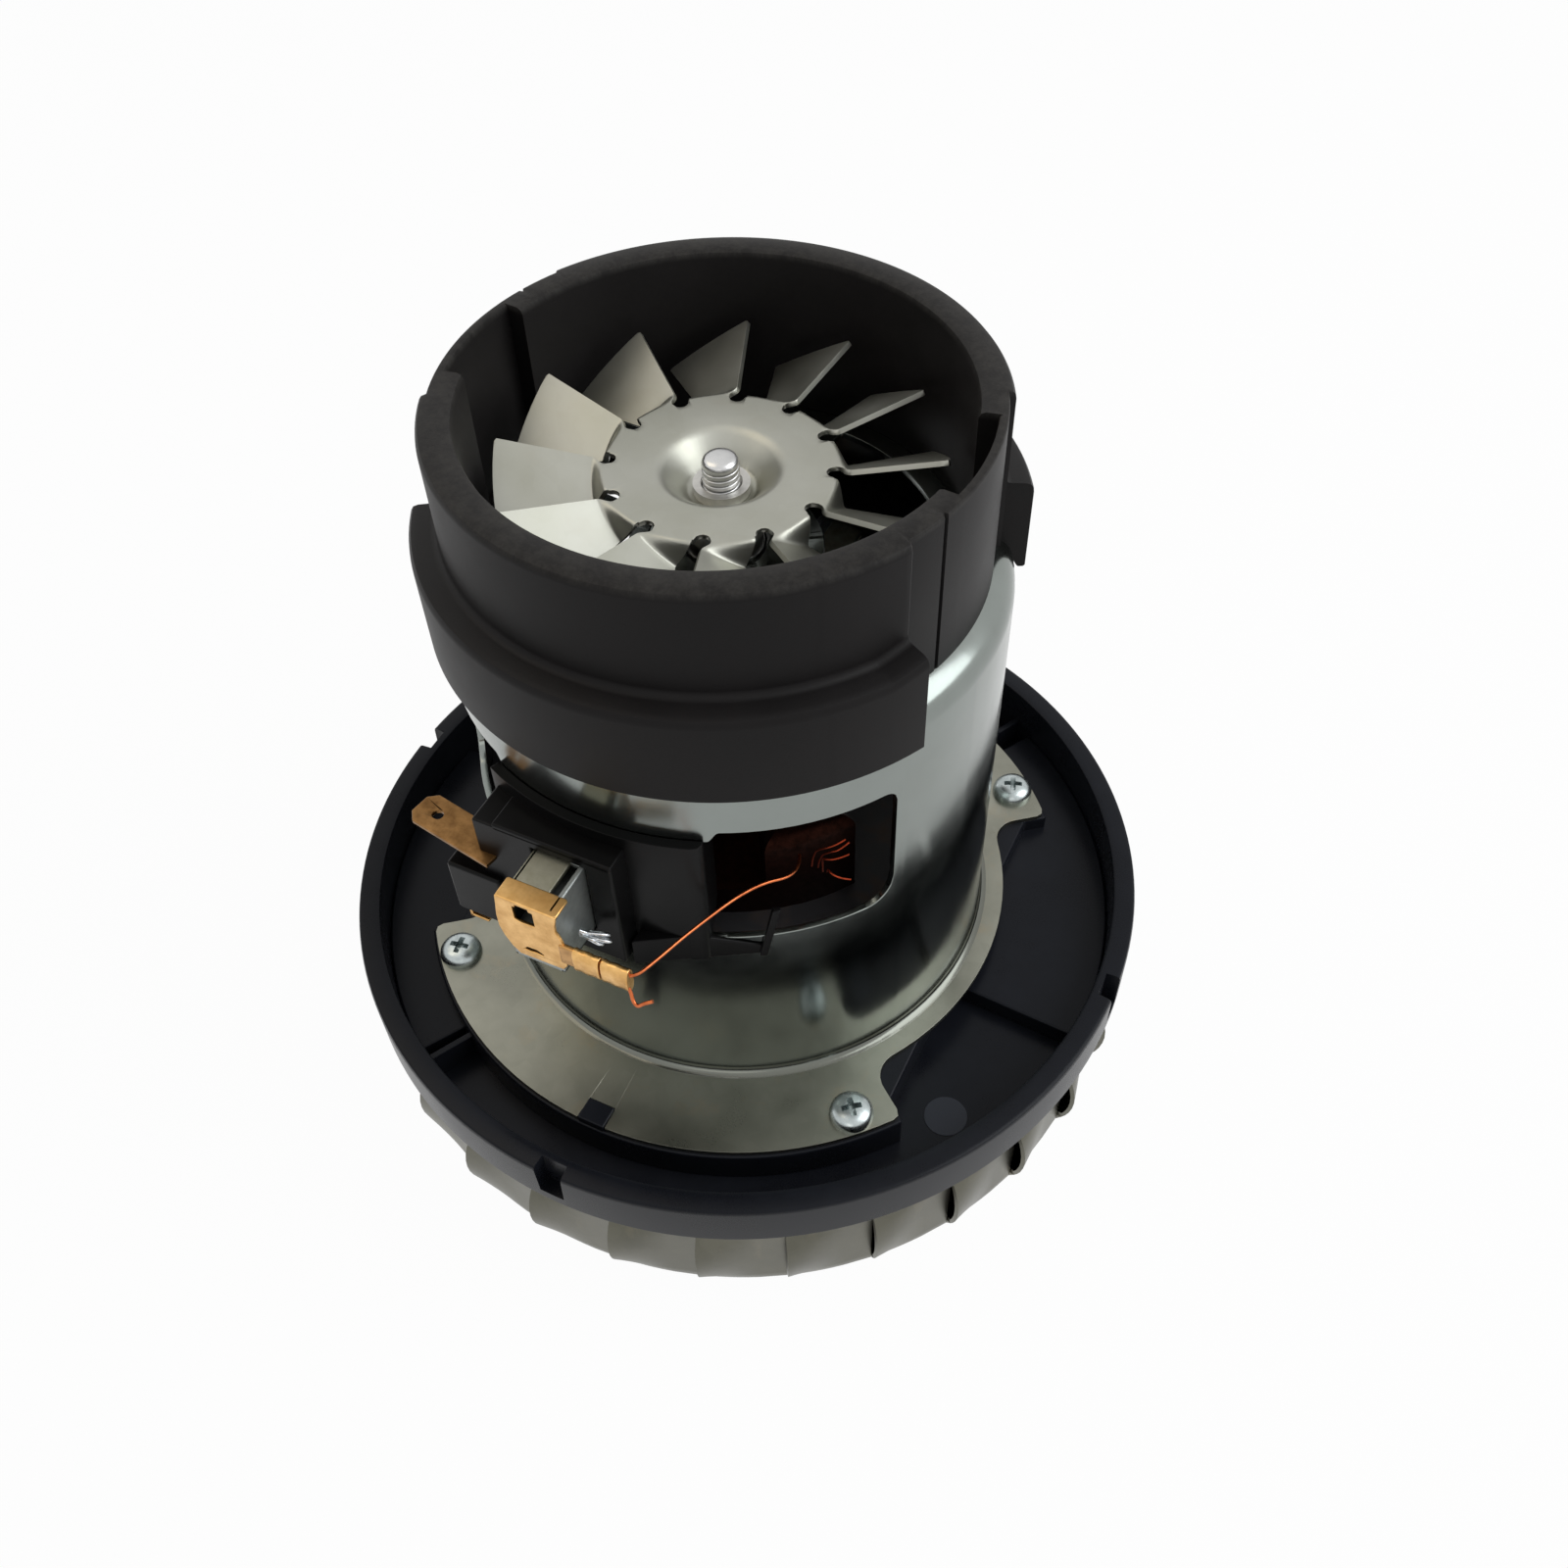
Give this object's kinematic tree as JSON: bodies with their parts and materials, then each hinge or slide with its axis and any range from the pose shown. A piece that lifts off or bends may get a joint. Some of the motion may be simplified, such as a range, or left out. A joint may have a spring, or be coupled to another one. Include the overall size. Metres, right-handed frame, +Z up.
{
  "type": "vacuum motor unit",
  "caption": "Bypass vacuum cleaner motor: fan cowl on a drawn steel can with brush gear, on a black air dish over a louvred steel cup with its impeller.",
  "frame": {"origin": "centre of the flat bottom of the louvred cup, on the motor axis", "axes": "+Z up the motor axis towards the cooling fan, -Y towards the front brush gear, +X to its right as seen from the front"},
  "size_m": [0.15, 0.15, 0.1432],
  "materials": {
    "galvanised_sheet": "satin zinc-coated steel sheet",
    "matte_black_moulding": "matt moulded plastic, worn grey at the rim",
    "gloss_black_moulding": "glossy moulded plastic",
    "zinc_screw": "bright zinc plate",
    "ground_steel": "ground steel",
    "turned_steel": "turned steel",
    "grey_steel": "dull grey steel strip",
    "laminated_steel": "stacked electrical steel",
    "enamelled_copper": "enamelled copper wire",
    "bar_copper": "turned copper",
    "brass_strip": "pressed brass strip",
    "tinned_braid": "tinned copper strands",
    "carbon": "pressed carbon",
    "pressed_aluminium": "pressed aluminium sheet"
  },
  "bodies": {
    "chassis": {"air_dish": "gloss_black_moulding", "motor_can": "galvanised_sheet", "lower_bearing_plate": "galvanised_sheet", "flange_screws": "zinc_screw", "louvred_cup": "galvanised_sheet", "stator_core": "laminated_steel", "fan_cowl": "matte_black_moulding", "upper_bearing_outer": "ground_steel", "lower_bearing_outer": "ground_steel", "front_brush_box": "grey_steel", "front_brush_spring": "grey_steel", "front_brush_holder": "gloss_black_moulding", "front_brush_bracket": "brass_strip", "front_lead_crimp": "brass_strip", "front_tab_terminal": "brass_strip", "front_terminal_tail": "brass_strip", "front_field_lead": "enamelled_copper", "front_brush_shunt": "tinned_braid", "front_field_coil": "enamelled_copper", "rear_brush_box": "grey_steel", "rear_brush_spring": "grey_steel", "rear_brush_holder": "gloss_black_moulding", "rear_brush_bracket": "brass_strip", "rear_lead_crimp": "brass_strip", "rear_tab_terminal": "brass_strip", "rear_terminal_tail": "brass_strip", "rear_field_lead": "enamelled_copper", "rear_brush_shunt": "tinned_braid", "rear_field_coil": "enamelled_copper"},
    "rotor": {"rotor_shaft": "ground_steel", "armature_core": "laminated_steel", "armature_windings": "enamelled_copper", "commutator": "bar_copper", "cooling_fan": "galvanised_sheet", "fan_bush": "turned_steel", "impeller_vanes": "pressed_aluminium", "impeller_top_disc": "pressed_aluminium", "impeller_eye_disc": "pressed_aluminium", "impeller_washers": "turned_steel", "impeller_nut": "zinc_screw", "upper_bearing_inner": "ground_steel", "lower_bearing_inner": "ground_steel", "impeller_spacer": "turned_steel", "lower_spacer": "turned_steel", "upper_spacer": "turned_steel", "fan_spacer": "turned_steel"},
    "front_brush": {"front_carbon_brush": "carbon"},
    "rear_brush": {"rear_carbon_brush": "carbon"}
  },
  "joints": [
    {"name": "rotor_spin", "type": "hinge", "parent": "chassis", "child": "rotor", "pos_m": [0, 0, 0.08], "axis": [0, 0, 1], "continuous": true},
    {"name": "front_brush_slide", "type": "slide", "parent": "chassis", "child": "front_brush", "axis": [0, -1, 0], "range_m": [0, 0.006], "stiffness_N_per_m": 150, "springref_m": -0.02, "deforming": ["front_brush_spring"]},
    {"name": "rear_brush_slide", "type": "slide", "parent": "chassis", "child": "rear_brush", "axis": [0, 1, 0], "range_m": [0, 0.006], "stiffness_N_per_m": 150, "springref_m": -0.02, "deforming": ["rear_brush_spring"]}
  ]
}
